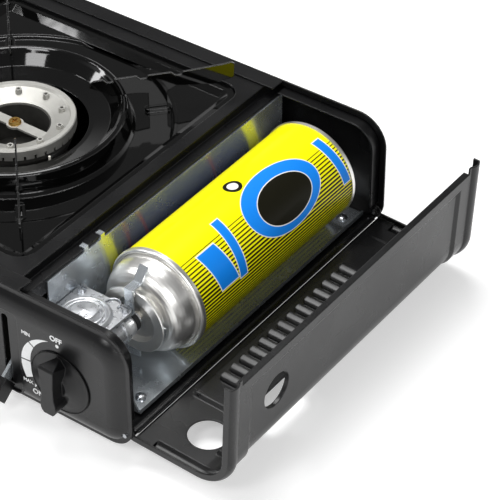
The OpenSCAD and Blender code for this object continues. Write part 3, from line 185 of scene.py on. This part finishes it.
def mouldedPlastic(name, base, roughness, edge=0.3 * mm, more=None):
    # Injection-moulded plastic; its spark-eroded skin is drawn coarser than it is, so that it shows
    material, tree, shader, place = newFinish(name, base, 0.0, roughness, more)
    vary(tree, shader, place, "Roughness", 6 * mm, roughness - 0.04, roughness + 0.05)
    grain(tree, shader, place, 0.5 * mm, 0.012 * mm, edge=edge)
    return material


def nitrileRubber():
    # Moulded nitrile rubber: dull, with a slight bloom
    material, tree, shader, place = newFinish("nitrile rubber", "#1d1d1e", 0.0, 0.75)
    vary(tree, shader, place, "Base Color", 4 * mm, "#19191a", "#262627")
    grain(tree, shader, place, 0.6 * mm, 0.03 * mm)
    return material


def glazedCeramic():
    # Glazed alumina: creamy white under a smooth glaze
    material, tree, shader, place = newFinish("glazed ceramic", "#e4e0d6", 0.0, 0.25)
    vary(tree, shader, place, "Base Color", 3 * mm, "#dcd7cb", "#ebe8e0")
    grain(tree, shader, place, 1.5 * mm, 0.01 * mm)
    return material


canPrint = dict(
    yellow="#fbf406", ink="#17160c", blue="#1787ee", navy="#39435f", red="#8a2c3a", white="#f4f4f0",
    softness=0.12 * mm, stripeFrom=16 * mm, stripeStart=0.1 * mm, stripePitch=2.3 * mm,
    stripeThin=0.25, stripeThick=0.62, stripeGrows=26 * mm,
    # Shape, centre and half sizes in mm (round the wall from its top, then along it),
    # lean, ink, and the width in mm and ink of its rim
    figures=[
        ("bar", 31, 24, 13, 8, 0.18, "blue", 0.8, "white"),
        ("bar", 27, 41, 19, 3.2, -0.1, "blue", 0.7, "white"),
        ("bar", 27, 146, 17, 3.2, 0.1, "blue", 0.7, "white"),
        ("oval", 23, 94, 21, 34.4, 0, "blue", 0.6, "white"),
        ("oval", 25, 95, 14, 24.2, 0, "ink", 0.6, "white"),
        ("oval", -3, 76, 3.6, 3.6, 0, "white", 2.4, "ink"),
        ("bar", -51.8, 75.5, 24.3, 66.5, 0, "navy", 0, None),
        ("bar", -51.8, 20, 24.3, 1.1, 0.1, "red", 0, None),
        ("bar", -51.8, 38, 24.3, 1.1, -0.1, "red", 0, None),
        ("bar", -51.8, 106, 24.3, 0.9, 0, "red", 0, None)])


def printedTin():
    # Tinplate printed with clear-coated inks: flat yellow with blue figures and black pinstripes
    s = canPrint
    low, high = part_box("can_wall")
    material, tree, shader, place = newFinish("printed tinplate", s["yellow"], 0.0, 0.35, {
        "Coat Weight": 0.06, "Coat Roughness": 0.06, "Specular IOR Level": 0.12})

    # Each step is a name, an operation and its terms; around and along are places on the wall,
    # and each inked form ends in its signed distance, below zero inside it
    steps = [
        ("side", "SUBTRACT", "x", (low.x + high.x) / 2),
        ("up", "SUBTRACT", "z", (low.z + high.z) / 2),
        ("turn", "ARCTAN2", "side", "up"),
        ("around", "MULTIPLY", "turn", (high.x - low.x) / 2),
        ("along", "SUBTRACT", "y", low.y),
        # Pinstripes run along the cartridge and grow thicker down its side
        ("past", "SUBTRACT", "around", s["stripeFrom"]),
        ("far", "MAXIMUM", "past", 0.0),
        ("count", "DIVIDE", "far", s["stripePitch"]),
        ("phase", "FRACT", "count"),
        ("grown", "DIVIDE", "far", s["stripeGrows"]),
        ("growth", "MINIMUM", "grown", 1.0),
        ("extra", "MULTIPLY", "growth", s["stripeThick"] - s["stripeThin"]),
        ("share", "ADD", "extra", s["stripeThin"]),
        ("rest", "SUBTRACT", "phase", "share"),
        ("stripe", "MULTIPLY", "rest", s["stripePitch"]),
        ("above", "LESS_THAN", "far", s["stripeStart"]),
        ("form0", "ADD", "stripe", "above")]
    inks = ["ink"]
    for shape, u, v, halfU, halfV, lean, fill, rim, rimInk in s["figures"]:
        for grow, ink in ((rim, rimInk), (0, fill)):
            if not ink:
                continue
            reachU, reachV = (halfU + grow) * mm, (halfV + grow) * mm
            steps += [("across", "SUBTRACT", "around", u * mm), ("length", "SUBTRACT", "along", v * mm)]
            if shape == "oval":
                steps += [
                    ("shareU", "DIVIDE", "across", reachU), ("squareU", "MULTIPLY", "shareU", "shareU"),
                    ("shareV", "DIVIDE", "length", reachV), ("squareV", "MULTIPLY", "shareV", "shareV"),
                    ("sum", "ADD", "squareU", "squareV"), ("root", "SQRT", "sum"),
                    ("beyond", "SUBTRACT", "root", 1.0),
                    ("form%d" % len(inks), "MULTIPLY", "beyond", min(reachU, reachV))]
            else:
                steps += [
                    ("rise", "MULTIPLY", "across", lean), ("level", "SUBTRACT", "length", "rise"),
                    ("sizeU", "ABSOLUTE", "across"), ("overU", "SUBTRACT", "sizeU", reachU),
                    ("sizeV", "ABSOLUTE", "level"), ("overV", "SUBTRACT", "sizeV", reachV),
                    ("form%d" % len(inks), "MAXIMUM", "overU", "overV")]
            inks.append(ink)

    known = dict(zip("xyz", addNode(tree, "SeparateXYZ", [place]).outputs))
    for name, operation, *terms in steps:
        terms = [known.get(term, term) for term in terms]
        known[name] = addNode(tree, "Math", terms, operation=operation).outputs[0]

    paint = colour(s["yellow"])
    for number, ink in enumerate(inks):
        inside = addNode(tree, "MapRange", {
            "Value": known["form%d" % number], "From Min": s["softness"], "From Max": -s["softness"]})
        paint = addNode(tree, "Mix", {0: inside.outputs[0], 6: paint, 7: colour(s[ink])},
                        data_type="RGBA").outputs[2]
    tree.links.new(paint, shader.inputs["Base Color"])
    grain(tree, shader, place, 5 * mm, 0.01 * mm)
    return material


finishes = {
    "black_coat": powderCoat(),
    "enamel": vitreousEnamel(),
    "galvanised": galvanisedSheet(),
    "die_cast": zincCasting(),
    "cast_aluminium": sandCastAluminium(),
    "brass": turnedBrass(),
    "bright_steel": platedSteel(),
    "tinplate": tinplate(),
    "printed_tin": printedTin(),
    "knob_plastic": mouldedPlastic("black ABS", "#070708", 0.33, 0.8 * mm, {"Specular IOR Level": 0.3}),
    "inner_plastic": mouldedPlastic("grey nylon", "#3b3b3d", 0.5),
    "cam_plastic": mouldedPlastic("white acetal", "#d9d5c9", 0.4),
    "lead_cover": mouldedPlastic("red silicone cover", "#8c2f2b", 0.55),
    "foot_rubber": nitrileRubber(),
    "seal_rubber": nitrileRubber(),
    "ceramic": glazedCeramic(),
}
slotOf = {part["node"]: part["material_slot"] for part in frame["record"]["subparts"]}
for name, node in nodes.items():
    node.data.materials.clear()
    node.data.materials.append(finishes[slotOf[name]])
# The burner's bowl takes the darkened aluminium: painted shade in its recess
nodes["burner_bowl"].data.materials[0] = shadeDarkenedAluminium()
print("finishes set on", len(nodes), "nodes")


def pickOnly(piece):
    bpy.ops.object.select_all(action="DESELECT")
    piece.select_set(True)
    bpy.context.view_layer.objects.active = piece


# Heights run back from the front of the grip, and sizes out from the knob's axis
knobShape = dict(
    skirtFrom=8 * mm, skirtBack=0.7 * mm, skirtLower=1.5 * mm, hubRadius=8 * mm, skirtSize=0.975,
    gripFrom=6.5 * mm, gripLower=5.4 * mm, wedgeDepth=1.5 * mm, wedgeFrom=8 * mm, wedgeStretch=4.4 * mm,
    mergeWithin=0.01 * mm, smoothAngle=32)


def shapeKnob():
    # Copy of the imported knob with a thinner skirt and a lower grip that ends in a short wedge
    s = knobShape
    low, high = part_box("knob")
    centre = Vector(((low.x + high.x) / 2, 0, (low.z + high.z) / 2))
    piece = bpy.data.objects.new("knobShaped", nodes["knob"].data.copy())
    bpy.context.scene.collection.objects.link(piece)
    pickOnly(piece)
    bpy.ops.mesh.customdata_custom_splitnormals_clear()
    bpy.ops.object.mode_set(mode="EDIT")
    bpy.ops.mesh.select_mode(type="VERT")
    bpy.ops.mesh.select_all(action="SELECT")
    bpy.ops.mesh.remove_doubles(threshold=s["mergeWithin"])

    def pick(test):
        bpy.ops.mesh.select_all(action="DESELECT")
        bpy.ops.object.mode_set(mode="OBJECT")
        for vertex in piece.data.vertices:
            vertex.select = test(vertex.co)
        bpy.ops.object.mode_set(mode="EDIT")

    pick(lambda at: at.y > low.y + s["gripFrom"] and (at.xz - centre.xz).length > s["hubRadius"])
    bpy.ops.transform.resize(value=(s["skirtSize"], 1, s["skirtSize"]), center_override=centre)
    pick(lambda at: low.y + s["skirtFrom"] < at.y < high.y - s["skirtBack"])
    bpy.ops.transform.translate(value=(0, s["skirtLower"], 0))
    pick(lambda at: at.y < low.y + s["gripFrom"])
    bpy.ops.transform.translate(value=(0, s["gripLower"], 0))
    gripFront = low.y + s["gripLower"]
    pick(lambda at: at.y <= gripFront + s["wedgeDepth"] and at.z > centre.z + s["wedgeFrom"])
    bpy.ops.transform.translate(value=(0, 0, s["wedgeStretch"]))
    bpy.ops.object.mode_set(mode="OBJECT")
    bpy.ops.object.shade_smooth_by_angle(angle=math.radians(s["smoothAngle"]))
    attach(piece, "knob")
    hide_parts("knob")


shapeKnob()
print("knob shaped")

# Places and sizes of the prints are in millimetres from the knob's axis, angles in degrees
dial = dict(
    white="#f2f3f3", depth=0.12 * mm, boldness=0.03, mergeWithin=0.001 * mm,
    words=[  # word, its place and its height
        ("OFF", -1.5, 30.4, 5.0), ("MIN", -23.9, 24.1, 3.5),
        ("MAX", -25, -12.1, 3.3), ("ON", -18, -17.8, 5.0)],
    scaleAt=(-4.4, 2.1), scaleRadius=24.4, scaleSides=96, hollowAt=(2.4, 4.0), hollowDepth=3, cutDepth=4,
    lowCutAt=(-13.1, -25.4), lowCutAngle=29, lowCutSize=(80, 40),
    breaks=[((-20.5, 17.7), 144), ((-25.6, 3.9), 6)], breakSize=(16, 1.0),
    dotAt=(-0.8, 26.2), dotRadius=1.2, dotSides=32)
spark = dict(at=(-18.8, -11.7), radius=1.156, apart=(0.544, 0.884), lean=0.5, stretch=0.5)

knobLow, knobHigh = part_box("knob")
knobX = (knobLow.x + knobHigh.x) / 2
knobZ = (knobLow.z + knobHigh.z) / 2
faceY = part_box("front_panel")[0].y


def printInk():
    # Screen-printed two-part ink: flat white with a slight tooth
    material, tree, shader, place = newFinish("white screen ink", dial["white"], 0.0, 0.5)
    vary(tree, shader, place, "Base Color", 2 * mm, "#e4e5e6", "#f1f2f2")
    grain(tree, shader, place, 0.4 * mm, 0.01 * mm)
    return material


inkWhite = printInk()


def keepPrint(piece, name):
    piece.name = name
    piece.data.name = name
    piece.data.materials.clear()
    piece.data.materials.append(inkWhite)
    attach(piece, "stove")


def applyPlace(piece):
    pickOnly(piece)
    bpy.ops.object.transform_apply(location=True, rotation=True, scale=True)


def dialWords():
    for word, x, z, size in dial["words"]:
        bpy.ops.object.select_all(action="DESELECT")
        bpy.ops.object.text_add(
            location=(knobX + x * mm, faceY - dial["depth"] / 2, knobZ + z * mm),
            rotation=(math.radians(90), 0, 0))
        text = bpy.context.object
        text.data.body = word
        text.data.size = size * mm
        text.data.offset = dial["boldness"] * size * mm
        text.data.align_x = "CENTER"
        text.data.align_y = "CENTER"
        text.data.extrude = dial["depth"] / 2
        bpy.ops.object.convert(target="MESH")
        text = bpy.context.object
        applyPlace(text)
        bpy.ops.object.mode_set(mode="EDIT")
        bpy.ops.mesh.select_all(action="SELECT")
        bpy.ops.mesh.remove_doubles(threshold=dial["mergeWithin"])
        bpy.ops.object.mode_set(mode="OBJECT")
        keepPrint(text, "print" + word.title())


def printDisc(place, radius, sides, spin=0.0, depth=1.0):
    # Disc flat on the panel's face, depth times as thick as the ink
    bpy.ops.object.select_all(action="DESELECT")
    bpy.ops.mesh.primitive_cylinder_add(
        vertices=sides, radius=radius * mm, depth=depth * dial["depth"],
        location=(knobX + place[0] * mm, faceY - dial["depth"] / 2, knobZ + place[1] * mm),
        rotation=(math.radians(90), math.radians(spin), 0))
    disc = bpy.context.object
    applyPlace(disc)
    return disc


def cutterBar(place, angle, size):
    # Slim bar that runs through the ink
    length, width = size
    bpy.ops.object.select_all(action="DESELECT")
    bpy.ops.mesh.primitive_cube_add(
        size=1, location=(knobX + place[0] * mm, faceY, knobZ + place[1] * mm),
        rotation=(0, math.radians(-angle), 0), scale=(length * mm, dial["cutDepth"] * mm, width * mm))
    bar = bpy.context.object
    applyPlace(bar)
    return bar


def cutAway(piece, cutter):
    modifier = piece.modifiers.new("cut", "BOOLEAN")
    modifier.operation = "DIFFERENCE"
    modifier.solver = "EXACT"
    modifier.object = cutter
    pickOnly(piece)
    bpy.ops.object.modifier_apply(modifier=modifier.name)
    bpy.data.objects.remove(cutter)


def dialScale():
    # Crescent between two circles, cut level at its lower end and broken twice, and the dot at OFF
    s = dial
    crescent = printDisc(s["scaleAt"], s["scaleRadius"], s["scaleSides"])
    cutAway(crescent, printDisc(s["hollowAt"], s["scaleRadius"], s["scaleSides"], depth=s["hollowDepth"]))
    cutAway(crescent, cutterBar(s["lowCutAt"], s["lowCutAngle"], s["lowCutSize"]))
    for place, angle in s["breaks"]:
        cutAway(crescent, cutterBar(place, angle, s["breakSize"]))
    keepPrint(crescent, "printScale")
    keepPrint(printDisc(s["dotAt"], s["dotRadius"], s["dotSides"]), "printDot")


def sparkSign():
    # Two slim triangles that point opposite ways and share their short sides
    bolts = []
    for way in (1, -1):
        place = [at + way * apart for at, apart in zip(spark["at"], spark["apart"])]
        bolt = printDisc(place, spark["radius"], 3, spin=90 - 90 * way)   # the second points down
        for vertex in bolt.data.vertices:
            up = vertex.co.z - knobZ - place[1] * mm
            vertex.co.x += spark["lean"] * up
            vertex.co.z += spark["stretch"] * way * max(way * up, 0)
        bolts.append(bolt)
    pickOnly(bolts[0])
    bolts[1].select_set(True)
    bpy.ops.object.join()
    keepPrint(bolts[0], "printSpark")


dialWords()
dialScale()
sparkSign()
print("dial printed")

studio = dict(
    floorSize=6.0, floor="#dcdcdc", floorRoughness=0.9, glow=0.42,
    walls=1.0, wallsTo=0.12, ceiling=0.17, ceilingFrom=0.5, fill=0.25,
    lamps=[  # name, place, aim, width and length in metres, watts
        ("softboxTop", (-0.3, 0.3, 1.5), (0, 0, 0), 0.8, 0.8, 17),
        ("stripLeft", (-1.4, -0.6, 0.9), (0, 0, 0.05), 0.2, 1.4, 11),
        ("softboxRight", (1.3, -1.0, 1.1), (0, 0, 0.05), 0.6, 0.6, 12),
        ("softboxFront", (0.1, -1.2, 1.4), (0, 0, 0.05), 0.5, 0.5, 7)])


def buildFloor():
    # Plain paper that keeps its shadows, and glows a little only to the camera and in reflections
    bpy.ops.object.select_all(action="DESELECT")
    bpy.ops.mesh.primitive_plane_add(size=studio["floorSize"], location=(0, 0, 0))
    floor = bpy.context.object
    floor.name = "floor"
    material = bpy.data.materials.new("plain paper floor")
    material.use_nodes = True
    tree = material.node_tree
    shader = tree.nodes["Principled BSDF"]
    shader.inputs["Base Color"].default_value = colour(studio["floor"])
    shader.inputs["Roughness"].default_value = studio["floorRoughness"]
    path = addNode(tree, "LightPath").outputs
    seen = addNode(tree, "Math", [path["Is Camera Ray"], path["Is Glossy Ray"]],
                   operation="ADD", use_clamp=True)
    glow = addNode(tree, "Emission", {"Strength": studio["glow"]})
    both = addNode(tree, "AddShader", [shader.outputs[0], glow.outputs[0]])
    either = addNode(tree, "MixShader", [seen.outputs[0], shader.outputs[0], both.outputs[0]])
    tree.links.new(either.outputs[0], tree.nodes["Material Output"].inputs["Surface"])
    floor.data.materials.append(material)


def buildWorld():
    # White low down and greyer towards the ceiling, as in a room with white walls.
    # Only what sees the room sees this; the light that it gives is the even fill.
    world = bpy.data.worlds.new("studio")
    bpy.context.scene.world = world
    world.use_nodes = True
    tree = world.node_tree
    background = tree.nodes["Background"]
    background.inputs["Color"].default_value = (1, 1, 1, 1)
    height = addNode(tree, "SeparateXYZ", [addNode(tree, "TexCoord").outputs["Generated"]]).outputs[2]
    room = addNode(tree, "MapRange", {
        "Value": height, "From Min": studio["wallsTo"], "From Max": studio["ceilingFrom"],
        "To Min": studio["walls"], "To Max": studio["ceiling"]}, interpolation_type="SMOOTHSTEP")
    path = addNode(tree, "LightPath").outputs
    seen = addNode(tree, "Math", [path["Is Camera Ray"], path["Is Glossy Ray"]], operation="ADD")
    seen = addNode(tree, "Math", [seen.outputs[0], path["Is Transmission Ray"]],
                   operation="ADD", use_clamp=True)
    strength = addNode(tree, "Mix", {0: seen.outputs[0], 2: studio["fill"], 3: room.outputs[0]})
    tree.links.new(strength.outputs[0], background.inputs["Strength"])


def hangLamps():
    for name, place, aim, width, length, power in studio["lamps"]:
        light = bpy.data.lights.new(name, "AREA")
        light.shape = "RECTANGLE"
        light.size = width
        light.size_y = length
        light.energy = power
        lamp = bpy.data.objects.new(name, light)
        bpy.context.scene.collection.objects.link(lamp)
        lamp.location = place
        lamp.rotation_euler = (Vector(aim) - Vector(place)).to_track_quat("-Z", "Y").to_euler()


view = dict(
    place=(0.70195, -0.78947, 0.85780), turn=(51.207, 0.186, 36.001), lens=155.413, sensor=36.0, reach=20)


def buildCamera():
    data = bpy.data.cameras.new("camera")
    data.sensor_fit = "HORIZONTAL"
    data.sensor_width = view["sensor"]
    data.lens = view["lens"]
    data.clip_end = view["reach"]
    camera = bpy.data.objects.new("camera", data)
    bpy.context.scene.collection.objects.link(camera)
    camera.location = view["place"]
    camera.rotation_euler = [math.radians(a) for a in view["turn"]]
    bpy.context.scene.camera = camera


buildFloor()
buildWorld()
hangLamps()
buildCamera()
bpy.context.scene.view_settings.view_transform = "Standard"
print("studio and camera set")
